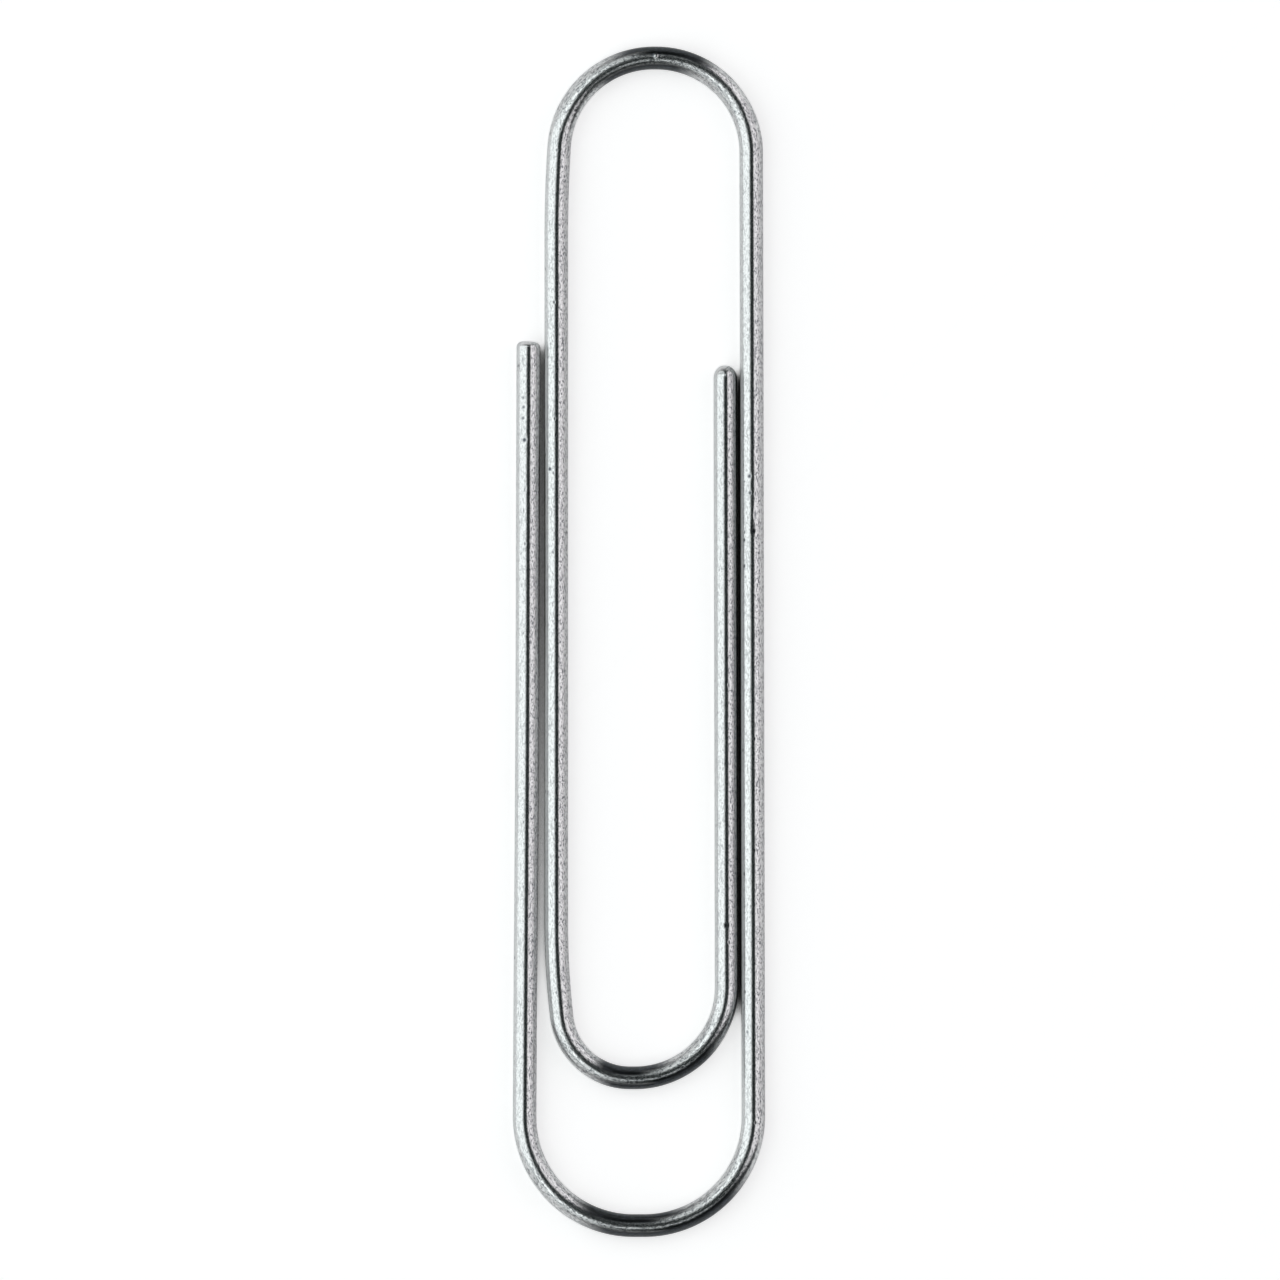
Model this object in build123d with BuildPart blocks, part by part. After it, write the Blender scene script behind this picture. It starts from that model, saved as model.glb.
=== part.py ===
# Round-ended paper clip of bent steel wire, lying flat on the plane Z = 0 with its length along Y.
# The wire is in sections that meet face to face where its straights and bends join.
import os
from math import atan2, cos, degrees, radians, sin

from build123d import *

# Driving dimensions in millimetres
overall_length = 50.0
overall_width = 10.6
wire_diameter = 1.0

# Free ends, measured down from the top of the clip
outer_end_drop = 12.4
tongue_end_drop = 13.4

# Tongue: its height above the bottom of the clip, and the clear gaps to the legs beside it
tongue_setback = 6.2
outer_gap = 0.17
tongue_gap = 0.11

# Bends: the short straight at the crown of each one, how far the top crown stands right of its bend's middle and
# the tongue's crown left of its own, and the gentle arcs at both ends of the tongue's left leg
bottom_crown_length = 0.45
top_crown_length = 0.1
tongue_crown_length = 0.2
top_crown_offset = 0.05
tongue_crown_offset = 0.37
top_ease_radius = 60.0
top_ease_turn = 3.6
lead_in_radius = 35.0
lead_in_turn = 6.5

# How far each leg of the outer loop draws in between its foot and its upper end
outer_leg_draw_in = 0.16
long_leg_draw_in = 0.09

# Rounding of the two cut ends, as shares of the wire's diameter
outer_end_round_share = 0.17
tongue_end_round_share = 0.42

quarter_turn = 90.0
wire_radius = wire_diameter / 2

# Centreline heights along Y
top_y = overall_length / 2 - wire_radius
bottom_y = -top_y
tongue_y = tongue_setback - overall_length / 2 + wire_radius
outer_end_y = overall_length / 2 - outer_end_drop
tongue_end_y = overall_length / 2 - tongue_end_drop

# Outer loop: the bottom bend fills the width, and the outer leg leans in above it
half_span = overall_width / 2 - wire_radius
bottom_radius = half_span - bottom_crown_length / 2
outer_end_x = outer_leg_draw_in - half_span
outer_lean = atan2(outer_leg_draw_in, outer_end_y - bottom_y - bottom_radius)
outer_leg_rise = outer_end_y - bottom_y - bottom_radius * (1 + sin(outer_lean))

# Top bend: from the top of the long leg across to the tongue's left leg, which it eases into with a gentle arc
long_leg_top_x = half_span - long_leg_draw_in
tongue_left_x = outer_end_x + wire_diameter + outer_gap
top_crown_x = (long_leg_top_x + tongue_left_x) / 2 + top_crown_offset
top_right_radius = long_leg_top_x - top_crown_x - top_crown_length / 2
long_lean = atan2(long_leg_draw_in, top_y - bottom_y - bottom_radius - top_right_radius)
long_leg_rise = top_y - bottom_y - bottom_radius * (1 + sin(long_lean)) - top_right_radius * (1 - sin(long_lean))
top_ease_angle = radians(top_ease_turn)
top_ease_shift = top_ease_radius * (1 - cos(top_ease_angle))
top_left_reach = top_crown_x - top_crown_length / 2 - tongue_left_x
top_left_radius = (top_left_reach - top_ease_shift) / cos(top_ease_angle)
top_ease_y = top_y - top_left_radius * (1 - sin(top_ease_angle)) - top_ease_radius * sin(top_ease_angle)

# Tongue, right side: its leg runs beside the long leg with the same lean
tongue_half_span = half_span - wire_diameter - tongue_gap
tongue_foot_height = tongue_y + tongue_half_span - bottom_y - bottom_radius
tongue_right_x = tongue_half_span - tongue_foot_height * sin(long_lean)
tongue_crown_x = (tongue_left_x + tongue_right_x) / 2 - tongue_crown_offset
tongue_right_radius = tongue_right_x - tongue_crown_x - tongue_crown_length / 2
tongue_leg_rise = tongue_end_y - tongue_y - tongue_right_radius * (1 + sin(long_lean))

# Tongue, left side: the lead-in takes up part of the way across, and a tighter arc the rest
lead_in_angle = radians(lead_in_turn)
lead_in_shift = lead_in_radius * (1 - cos(lead_in_angle))
tongue_left_reach = tongue_crown_x - tongue_crown_length / 2 - tongue_left_x
tongue_left_radius = (tongue_left_reach - lead_in_shift) / cos(lead_in_angle)
lead_in_y = tongue_y + tongue_left_radius * (1 - sin(lead_in_angle)) + lead_in_radius * sin(lead_in_angle)
tongue_left_drop = top_ease_y - lead_in_y

# Centreline, from the cut end of the outer leg round to the cut end of the tongue, turning left all the way
with BuildLine() as centreline:
    outer_leg_line = PolarLine(
        (outer_end_x, outer_end_y, wire_radius),
        outer_leg_rise,
        direction=(-sin(outer_lean), -cos(outer_lean)),
        length_mode=LengthMode.VERTICAL,
    )
    bottom_left_arc = JernArc(
        outer_leg_line @ 1, outer_leg_line % 1, bottom_radius, quarter_turn + degrees(outer_lean)
    )
    bottom_crown_line = PolarLine(bottom_left_arc @ 1, bottom_crown_length, direction=bottom_left_arc % 1)
    bottom_right_arc = JernArc(
        bottom_crown_line @ 1, bottom_crown_line % 1, bottom_radius, quarter_turn + degrees(long_lean)
    )
    long_leg_line = PolarLine(
        bottom_right_arc @ 1, long_leg_rise, direction=bottom_right_arc % 1, length_mode=LengthMode.VERTICAL
    )
    top_right_arc = JernArc(
        long_leg_line @ 1, long_leg_line % 1, top_right_radius, quarter_turn - degrees(long_lean)
    )
    top_crown_line = PolarLine(top_right_arc @ 1, top_crown_length, direction=top_right_arc % 1)
    top_left_arc = JernArc(top_crown_line @ 1, top_crown_line % 1, top_left_radius, quarter_turn - top_ease_turn)
    top_ease_arc = JernArc(top_left_arc @ 1, top_left_arc % 1, top_ease_radius, top_ease_turn)
    tongue_left_line = PolarLine(top_ease_arc @ 1, tongue_left_drop, direction=top_ease_arc % 1)
    lead_in_arc = JernArc(tongue_left_line @ 1, tongue_left_line % 1, lead_in_radius, lead_in_turn)
    tongue_left_arc = JernArc(lead_in_arc @ 1, lead_in_arc % 1, tongue_left_radius, quarter_turn - lead_in_turn)
    tongue_crown_line = PolarLine(tongue_left_arc @ 1, tongue_crown_length, direction=tongue_left_arc % 1)
    tongue_right_arc = JernArc(
        tongue_crown_line @ 1, tongue_crown_line % 1, tongue_right_radius, quarter_turn + degrees(long_lean)
    )
    tongue_right_line = PolarLine(
        tongue_right_arc @ 1, tongue_leg_rise, direction=tongue_right_arc % 1, length_mode=LengthMode.VERTICAL
    )

# Each straight section, and the rounding of its upper end where the wire is cut there
straights = {
    "outer_leg": (outer_leg_line, outer_end_round_share),
    "bottom_crown": (bottom_crown_line, None),
    "long_leg": (long_leg_line, None),
    "top_crown": (top_crown_line, None),
    "tongue_left_leg": (tongue_left_line, None),
    "tongue_crown": (tongue_crown_line, None),
    "tongue_right_leg": (tongue_right_line, tongue_end_round_share),
}

# Each side of a bend, and the arcs that it follows
bends = {
    "bottom_bend_left": [bottom_left_arc],
    "bottom_bend_right": [bottom_right_arc],
    "top_bend_right": [top_right_arc],
    "top_bend_left": [top_left_arc, top_ease_arc],
    "tongue_bend_left": [lead_in_arc, tongue_left_arc],
    "tongue_bend_right": [tongue_right_arc],
}

os.makedirs("parts", exist_ok=True)

for name, (line, end_round_share) in straights.items():
    with BuildPart() as straight:
        with BuildSketch(Plane(origin=line @ 0, z_dir=line % 0)):
            Circle(wire_radius)
        extrude(amount=line.length)
        if end_round_share:
            cut_edge = straight.edges().filter_by(GeomType.CIRCLE).sort_by(Axis.Y)[-1]
            fillet(cut_edge, radius=wire_diameter * end_round_share)
    straight.part.label = name
    export_step(straight.part, f"parts/{name}.step")

for name, arcs in bends.items():
    with BuildPart() as bend:
        for arc in arcs:
            with BuildSketch(Plane(origin=arc @ 0, z_dir=arc % 0)):
                Circle(wire_radius)
            revolve(axis=Axis(arc.arc_center, (0, 0, 1)), revolution_arc=degrees(arc.length / arc.radius))
    bend.part.label = name
    export_step(bend.part, f"parts/{name}.step")
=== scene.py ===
from math import atan2, ceil, copysign, cos, hypot, pi, radians, sin

import bpy
import numpy as np
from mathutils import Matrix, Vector


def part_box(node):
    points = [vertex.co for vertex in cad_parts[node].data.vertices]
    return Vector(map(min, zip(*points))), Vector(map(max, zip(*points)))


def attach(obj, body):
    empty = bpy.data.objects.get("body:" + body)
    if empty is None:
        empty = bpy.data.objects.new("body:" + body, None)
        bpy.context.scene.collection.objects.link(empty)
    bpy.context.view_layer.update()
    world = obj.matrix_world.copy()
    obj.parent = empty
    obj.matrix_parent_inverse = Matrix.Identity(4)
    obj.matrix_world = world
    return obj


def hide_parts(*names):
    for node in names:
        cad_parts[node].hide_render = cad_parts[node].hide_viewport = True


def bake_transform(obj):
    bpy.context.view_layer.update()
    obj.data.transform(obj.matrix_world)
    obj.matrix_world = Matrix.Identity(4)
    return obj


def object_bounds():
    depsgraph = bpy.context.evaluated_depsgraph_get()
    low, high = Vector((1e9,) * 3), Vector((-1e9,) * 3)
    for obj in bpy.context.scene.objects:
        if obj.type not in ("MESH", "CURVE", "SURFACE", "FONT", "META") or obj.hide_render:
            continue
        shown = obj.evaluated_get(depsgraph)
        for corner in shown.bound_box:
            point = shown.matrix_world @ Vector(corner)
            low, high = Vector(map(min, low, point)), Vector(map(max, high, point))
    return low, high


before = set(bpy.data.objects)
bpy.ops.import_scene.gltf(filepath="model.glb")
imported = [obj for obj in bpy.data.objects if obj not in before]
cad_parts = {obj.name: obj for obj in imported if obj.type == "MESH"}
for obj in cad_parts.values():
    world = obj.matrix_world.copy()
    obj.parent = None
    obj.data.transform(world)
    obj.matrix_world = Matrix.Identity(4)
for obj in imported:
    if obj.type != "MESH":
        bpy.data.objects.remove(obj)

CAD_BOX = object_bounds()

bl_info = {
    "name": "Bent Wire Paper Clip",
    "version": (1, 0, 0),
    "blender": (4, 5, 0),
    "location": "View3D > Sidebar > Paper Clip",
    "description": "Dresses a round-ended wire paper clip: plated legs, sprung bends and a studio stage",
    "category": "Add Mesh",
}

MM = 0.001
WHITE = (1.0, 1.0, 1.0, 1.0)
SENSOR_WIDTH = 36.0

# Marks on the upper side of the wire: plan place X and Y, length along the wire, width across it, all in mm,
# and how deep each one is as a share of the mark depth, below 0 where it stands proud
MARKS = {
    "top_bend_spot": (0.68, 24.59, 0.24, 0.10, 0.8),
    "top_bend_bead": (0.71, 24.58, 0.09, 0.08, -1.8),
    "outer_tip_fleck_1": (-4.88, 11.86, 0.16, 0.05, 0.55),
    "outer_tip_fleck_2": (-5.06, 11.58, 0.10, 0.07, 0.6),
    "outer_dot_1": (-4.86, 10.24, 0.09, 0.07, 0.7),
    "outer_dot_2": (-4.84, 9.85, 0.09, 0.08, 0.75),
    "outer_dot_3": (-4.87, 9.39, 0.09, 0.07, 0.75),
    "outer_dot_4": (-4.81, 8.47, 0.10, 0.09, 1.0),
    "outer_scratch_1": (-4.80, 6.40, 0.12, 0.04, 0.6),
    "outer_scratch_2": (-4.84, 5.50, 0.16, 0.04, 0.6),
    "outer_rub": (-4.55, 0.21, 0.09, 0.13, 0.6),
    "outer_foot_rub": (-4.36, -19.4, 0.30, 0.06, 0.5),
    "tongue_dot": (-3.75, 7.25, 0.09, 0.08, 1.0),
    "tongue_arm_dot": (3.65, -11.9, 0.09, 0.08, 0.9),
    "long_nick": (4.826, 4.84, 0.16, 0.10, 0.55),
    "long_nick_foot": (4.80, 4.64, 0.09, 0.08, 1.0),
    "long_nick_tail": (4.88, 5.35, 0.20, 0.06, 0.7),
    "long_dot_1": (4.63, 6.95, 0.10, 0.08, 0.9),
    "long_dot_2": (4.66, 6.25, 0.09, 0.08, 0.8),
    "long_dot_3": (4.41, 4.27, 0.08, 0.06, 0.8),
    "long_dot_4": (4.41, 3.18, 0.08, 0.06, 0.8),
    "long_dot_5": (4.415, 6.72, 0.06, 0.05, 0.7),
}

# Painted shade on the flanks beside the narrow gaps: dark colour that stands in for the shade and the dark
# reflection where a neighbouring leg lies close. Its side of the wire, 1 for the left and -1 for the right as
# the wire runs; where it begins and is full, as shares of the radius; whether it lies where the wire runs up
# the clip, 1, or down it, -1; and the plan heights Y in mm of its foot and its top, where it has faded
PAINTED_GAP_SHADE = {
    "outer_leg_wire": (1, 0.86, 0.97, -1, -3.0, 10.5),
    "tongue_leg_wire": (-1, 0.86, 0.97, -1, -3.0, 10.5),
    "tongue_bend_wire": (-1, 0.3, 1.0, 1, -18.8, 16.0),
    "tongue_arm_wire": (-1, 0.3, 1.0, 1, -18.8, 16.0),
}

# Distance over which the painted gap shade fades at its foot and top, and the rise of the wire where it
# begins and is full
PAINTED_GAP_SHADE_FADE = 4.0 * MM
PAINTED_GAP_SHADE_RISE = (0.1, 0.8)

# Painted dark reflection on the bends: dark colour on the flanks that face the dark room at the front and the
# back. Where it begins and is full on a side that faces the clip's right and on one that faces its left, as
# shares of the radius across the wire and as the part of the side's facing that points right
DARK_REFLECTION_RIGHT_ACROSS = (0.0, 0.3)
DARK_REFLECTION_RIGHT_FACING = (-0.3, 0.0)
DARK_REFLECTION_LEFT_ACROSS = (0.4, 0.62)
DARK_REFLECTION_LEFT_FACING = (-0.55, -0.2)

# Where the painted dark reflection fades towards the legs, where it is no longer thinner inside a bend on the
# front, and how thin that is
DARK_REFLECTION_FADING = (0.4, 0.65)
DARK_REFLECTION_THICKENING = (0.45, 0.65)
INNER_FRONT_THINNING = 0.55

# How much later the painted dark reflection begins across the wire and in its facing on the front, and how it
# fades later there
FRONT_ACROSS = 0.12
FRONT_FACING = 0.25
FRONT_FADING = 0.3
INNER_FRONT_FADING = 0.2

# Heading at which the section of a leaning bend stands upright, and how much of the wire's run crosses the
# clip where the flattening and the lean are full
UPRIGHT_HEADING = radians(15.0)
FULL_FLATTENING = 0.6
FULL_LEAN = 0.5

# How much of a side's facing points right where its painted mottling is full: the grain is painted darker on
# the side that faces the clip's right, as shade from the dimmer light on that side
FULL_PAINTED_MOTTLING = 0.5

# Cut ends: rows of points over the flat face up to its rounding and over the rounding, where the first row
# lies as a share of the face, and how far from the end the wire's own rows begin, as a share of the
# rounding's length
FACE_ROWS = 9
ROUNDING_ROWS = 16
FIRST_FACE_ROW = 0.12
PAST_ROUNDING = 1.05

# Angle between faces above which an edge is sharp
SHARP_EDGE = radians(50.0)

# Plating: how much of the wire's run crosses the clip where a bend begins and is full, the distances across
# and up from the wire's middle where the painted bright rim begins and is full, the most of it on a leg, and
# how far into a bend it ends. The painted bright rim is pale matt colour that stands in for the flanks'
# bright reflection
BEND_RUN = (0.05, 0.5)
BRIGHT_RIM_ACROSS = (0.30 * MM, 0.46 * MM)
BRIGHT_RIM_UP = (0.075 * MM, 0.225 * MM)
BRIGHT_RIM_MOST = 0.85
BRIGHT_RIM_END = 0.5

# Shares of the marks in the plating's colour: dull drawing marks, dark grain on the plain side of a leg and
# on its side with painted mottling, and in a bend, and pits; and the depth at which a nick begins to be dark
# and is darkest
STREAK_SHARE = 0.6
LEG_GRAIN = (0.25, 0.85)
BEND_GRAIN = 0.72
PIT_SHARE = 0.6
NICK_DEPTH = (0.12, 0.85)

# Shares of the marks in the plating's relief: streaks and grain on a leg and in a bend, and pits; and its
# height
RELIEF = (0.2, 0.65)
PIT_RELIEF = 0.5
RELIEF_HEIGHT = 0.008 * MM

# Floor: rays for its crevices, and how open a place is where its colour and its lift begin and are full;
# below that, both are painted shade
CREVICE_RAYS = 32
CREVICE_SHADE_COLOUR_RANGE = (0.12, 0.29)
CREVICE_SHADE_LIFT_RANGE = (0.18, 0.30)

# Room, by parts of a direction: how high the horizon's pale band reaches, how high the backdrop reaches in
# reflections, and how far lengthways it begins and is full
HORIZON_TOP = 0.05
BACKDROP_TOP = 0.7
BACKDROP_ENDS = (0.35, 0.75)

# Tints of the lamps
COOL_LIGHT = (0.96, 1.0, 1.0)
WARM_LIGHT = (1.0, 0.965, 0.985)

# Lamps, each named as its brightness is: X and Z of its upper edge and of its lower edge, Y of its two
# ends, all in metres, and its tint
LAMPS = {
    "left_panel": ((-0.19, 0.90), (-1.35, 0.0), (-1.08, 1.08), COOL_LIGHT),
    "left_core": ((-0.30, 0.80), (-1.32, 0.0), (-0.42, 0.42), COOL_LIGHT),
    "right_panel": ((0.363, 0.90), (1.35, 0.0), (-0.30, 1.02), WARM_LIGHT),
    "right_core": ((0.355, 0.88), (0.81, 0.465), (-0.30, 1.02), WARM_LIGHT),
    "front_strip": ((-0.22, 0.90), (0.00, 0.90), (-0.90, -0.06), COOL_LIGHT),
    "back_strip": ((-0.36, 0.90), (-0.08, 0.90), (0.07, 0.80), COOL_LIGHT),
}


class WireSizes(bpy.types.PropertyGroup):
    """Sizes of the wire's surface"""

    points_around: bpy.props.IntProperty(
        name="Points Around", description="Points in each ring of the wire", default=72, min=16, max=160
    )
    ring_spacing: bpy.props.FloatProperty(
        name="Ring Spacing", description="Distance between rings along the wire",
        default=0.06 * MM, min=0.03 * MM, unit="LENGTH", precision=5,
    )
    top_ease_turn: bpy.props.FloatProperty(
        name="Top Ease", description="Turn of the gentle arc between the top bend and the tongue's left leg",
        default=radians(3.6), subtype="ANGLE",
    )
    lead_in_turn: bpy.props.FloatProperty(
        name="Tongue Lead-in", description="Turn of the gentle arc before the tongue's left bend",
        default=radians(6.5), subtype="ANGLE",
    )
    outer_leg_bow: bpy.props.FloatProperty(
        name="Outer Leg Bow", description="How far the outer leg bows towards the tongue at its middle",
        default=0.025 * MM, unit="LENGTH", precision=5,
    )
    bend_flattening: bpy.props.FloatProperty(
        name="Bend Flattening", description="How much thinner the wire is across its plane in the bends",
        default=0.035, min=0.0, max=0.2, subtype="FACTOR",
    )
    top_bend_lean: bpy.props.FloatProperty(
        name="Top Bend Lean", description="How far the top bend's section leans, as a share of its height",
        default=0.12, min=0.0, max=0.3, subtype="FACTOR",
    )
    outer_end_round: bpy.props.FloatProperty(
        name="Outer End Rounding", description="Rounding of the outer leg's cut end",
        default=0.25 * MM, unit="LENGTH", precision=5,
    )
    tongue_end_round: bpy.props.FloatProperty(
        name="Tongue End Rounding", description="Rounding of the tongue's cut end across the wire",
        default=0.46 * MM, unit="LENGTH", precision=5,
    )
    tongue_end_length: bpy.props.FloatProperty(
        name="Tongue End Length", description="How far the tongue's rounded end reaches along the wire",
        default=0.56 * MM, unit="LENGTH", precision=5,
    )
    cut_slant: bpy.props.FloatProperty(
        name="Cut Slant", description="How far the cut faces lean over the width of the wire",
        default=0.04 * MM, unit="LENGTH", precision=5,
    )
    cut_turn: bpy.props.FloatProperty(
        name="Cut Turn", description="Which way the cut faces lean, round the wire from its right side",
        default=radians(34.0), subtype="ANGLE",
    )
    mark_depth: bpy.props.FloatProperty(
        name="Mark Depth", description="Depth of the deepest nicks and dents",
        default=0.02 * MM, unit="LENGTH", precision=5,
    )


class PlatingLook(bpy.types.PropertyGroup):
    """Colours and finish of the plated wire"""

    zinc_colour: bpy.props.FloatVectorProperty(
        name="Zinc", description="Colour of the bright plating", subtype="COLOR",
        size=3, min=0.0, max=1.0, default=(0.80, 0.81, 0.81),
    )
    dull_colour: bpy.props.FloatVectorProperty(
        name="Dull Zinc", description="Colour of the duller plating in the drawing marks", subtype="COLOR",
        size=3, min=0.0, max=1.0, default=(0.42, 0.43, 0.44),
    )
    # Painted dark colour: the bends' dark reflections and the shade beside the narrow gaps
    painted_dark_colour: bpy.props.FloatVectorProperty(
        name="Smoked Zinc", description="Colour of the plating that the bending tool or grime darkened",
        subtype="COLOR", size=3, min=0.0, max=1.0, default=(0.055, 0.06, 0.062),
    )
    # Painted bright rim: pale matt colour high on the legs' flanks that stands in for their bright reflection
    painted_rim_colour: bpy.props.FloatVectorProperty(
        name="Bloom", description="Colour of the matt bloom on the legs' flanks", subtype="COLOR",
        size=3, min=0.0, max=1.0, default=(0.88, 0.89, 0.89),
    )
    pit_colour: bpy.props.FloatVectorProperty(
        name="Pits", description="Colour of the pits and nicks", subtype="COLOR",
        size=3, min=0.0, max=1.0, default=(0.10, 0.11, 0.13),
    )
    steel_colour: bpy.props.FloatVectorProperty(
        name="Bare Steel", description="Colour of the cut faces", subtype="COLOR",
        size=3, min=0.0, max=1.0, default=(0.50, 0.49, 0.48),
    )
    gloss_roughness: bpy.props.FloatProperty(
        name="Roughness", description="Roughness of the bright plating",
        default=0.17, min=0.0, max=1.0, subtype="FACTOR",
    )
    bend_roughness: bpy.props.FloatProperty(
        name="Bend Roughness", description="Roughness of the plating that the bending tool rubbed",
        default=0.19, min=0.0, max=1.0, subtype="FACTOR",
    )
    painted_rim_roughness: bpy.props.FloatProperty(
        name="Bloom Roughness", description="Roughness of the matt bloom",
        default=0.45, min=0.0, max=1.0, subtype="FACTOR",
    )
    # Painted shade: how far the flanks beside the narrow gaps are darkened to stand in for their shade
    painted_shade_strength: bpy.props.FloatProperty(
        name="Grime", description="How much the grime beside the narrow gaps darkens the plating",
        default=0.65, min=0.0, max=1.0, subtype="FACTOR",
    )
    streak_width: bpy.props.FloatProperty(
        name="Streak Width", description="Width of the drawing marks",
        default=0.08 * MM, unit="LENGTH", precision=5,
    )
    streak_length: bpy.props.FloatProperty(
        name="Streak Length", description="Length of the drawing marks",
        default=0.22 * MM, unit="LENGTH", precision=5,
    )
    grain_size: bpy.props.FloatProperty(
        name="Grain Size", description="Size of the plating's grain",
        default=0.055 * MM, unit="LENGTH", precision=5,
    )
    pit_spacing: bpy.props.FloatProperty(
        name="Pit Spacing", description="Spacing of the small pits",
        default=0.42 * MM, unit="LENGTH", precision=5,
    )


class StageLook(bpy.types.PropertyGroup):
    """Floor, lamps and camera"""

    floor_colour: bpy.props.FloatVectorProperty(
        name="Floor", description="Colour of the floor", subtype="COLOR",
        size=3, min=0.0, max=1.0, default=(0.70, 0.70, 0.70),
    )
    floor_reach: bpy.props.FloatProperty(
        name="Floor Reach", description="Distance from the clip to the floor's sides",
        default=3.0, unit="LENGTH",
    )
    floor_lift: bpy.props.FloatProperty(
        name="Floor Lift", description="Light added to the floor for the camera and for reflections",
        default=0.63, min=0.0, max=1.0,
    )
    floor_mirrored: bpy.props.FloatProperty(
        name="Mirrored Lift", description="Share of the added light that reflections show",
        default=0.55, min=0.0, max=1.0, subtype="FACTOR",
    )
    # Painted shade: the floor's colour in the crevices by the wire
    crevice_shade_colour: bpy.props.FloatVectorProperty(
        name="Crevices", description="Colour of the floor in the crevices by the wire", subtype="COLOR",
        size=3, min=0.0, max=1.0, default=(0.08, 0.08, 0.08),
    )
    crevice_reach: bpy.props.FloatProperty(
        name="Crevice Reach", description="Distance within which the wire shades the floor's crevices",
        default=1.5 * MM, unit="LENGTH", precision=5,
    )
    room_colour: bpy.props.FloatVectorProperty(
        name="Room", description="Dim light of the room above", subtype="COLOR",
        size=3, min=0.0, max=1.0, default=(0.012, 0.017, 0.017),
    )
    backdrop_mirrored: bpy.props.FloatProperty(
        name="Mirrored Backdrop",
        description="Brightness of the backdrop at the front and back in reflections",
        default=0.55, min=0.0, max=1.0, subtype="FACTOR",
    )
    left_panel: bpy.props.FloatProperty(
        name="Left Panel", description="Brightness of the left lamp", default=0.60, min=0.0
    )
    left_core: bpy.props.FloatProperty(
        name="Left Core", description="Brightness added at the middle of the left lamp", default=0.58, min=0.0
    )
    right_panel: bpy.props.FloatProperty(
        name="Right Panel", description="Brightness of the right lamp", default=0.68, min=0.0
    )
    right_core: bpy.props.FloatProperty(
        name="Right Core", description="Brightness added at the top of the right lamp", default=0.28, min=0.0
    )
    front_strip: bpy.props.FloatProperty(
        name="Front Strip", description="Brightness of the small lamp above the front", default=0.78, min=0.0
    )
    back_strip: bpy.props.FloatProperty(
        name="Back Strip", description="Brightness of the small lamp above the back", default=0.52, min=0.0
    )
    view_width: bpy.props.FloatProperty(
        name="View Width", description="Width of the picture at the wire",
        default=53.72 * MM, unit="LENGTH", precision=5,
    )
    view_centre: bpy.props.FloatVectorProperty(
        name="View Centre", description="Place X and Y that the camera looks down at",
        size=2, default=(0.042 * MM, 0.076 * MM), unit="LENGTH", precision=5,
    )
    lens: bpy.props.FloatProperty(name="Lens", description="Focal length in millimetres", default=800.0)


def stretch_ends():
    """Wire radius, and the plan ends of the wire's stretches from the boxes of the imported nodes. A leaning
    leg ends one wire radius in from the side of its box that it leans to; a crown ends where its box
    does."""
    crown_low, crown_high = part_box("bottom_crown")
    radius = (crown_high.z - crown_low.z) / 2
    ends = {}
    for name, leans_left in (("outer_leg", False), ("long_leg", True), ("tongue_right_leg", True)):
        low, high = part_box(name)
        left, right = low.x + radius, high.x - radius
        upper_x, foot_x = (left, right) if leans_left else (right, left)
        ends[name] = (np.array((upper_x, high.y)), np.array((foot_x, low.y)))
    low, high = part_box("tongue_left_leg")
    middle = (low.x + high.x) / 2
    ends["tongue_left_leg"] = (np.array((middle, high.y)), np.array((middle, low.y)))
    for name in ("bottom_crown", "top_crown", "tongue_crown"):
        low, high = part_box(name)
        middle = (low.y + high.y) / 2
        ends[name] = (np.array((low.x, middle)), np.array((high.x, middle)))
    return radius, ends


def straight(start, end, spacing):
    """Points in even steps from start to end, start plus a share of the way, and the heading, the same all
    along."""
    way = end - start
    count = max(2, ceil(hypot(*way) / spacing) + 1)
    share = np.linspace(0.0, 1.0, count)[:, None]
    return start + way * share, np.full(count, atan2(way[1], way[0]))


def bowed(path, bow):
    """A straight path bowed to its left. A point moves by the bow times the squared sine of half a turn
    times its share of the way, so both ends keep their place and heading; the headings between them
    change too little to count."""
    points, headings = path
    share = np.linspace(0.0, 1.0, len(points))
    left = np.stack((-np.sin(headings), np.cos(headings)), axis=1)
    return points + left * (bow * np.sin(pi * share) ** 2)[:, None], headings


def arc(start, end, turn, spacing):
    """Arc from start to end that turns left by the given angle. Its radius is the chord over twice the sine
    of half the turn, its first heading lies half the turn to the right of the chord, and a point is the
    start plus the radius times the change of the heading's sine in X, and of its negative cosine in
    Y."""
    chord = end - start
    radius = hypot(*chord) / (2 * sin(turn / 2))
    first = atan2(chord[1], chord[0]) - turn / 2
    count = max(2, ceil(radius * turn / spacing) + 1)
    heading = np.linspace(first, first + turn, count)
    x = np.sin(heading) - sin(first)
    y = cos(first) - np.cos(heading)
    return start + radius * np.stack((x, y), axis=1), heading


def chain(*stretches):
    """One path of stretches end to end, each without its first point, which the one before it already has."""
    first, *rest = stretches
    points = np.concatenate([first[0]] + [stretch[0][1:] for stretch in rest])
    headings = np.concatenate([first[1]] + [stretch[1][1:] for stretch in rest])
    return points, headings


def lean_of(ends):
    """Angle of a leg from the Y axis, positive where its upper end lies to the left of its foot."""
    upper, foot = ends
    return atan2(foot[0] - upper[0], upper[1] - foot[1])


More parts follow.
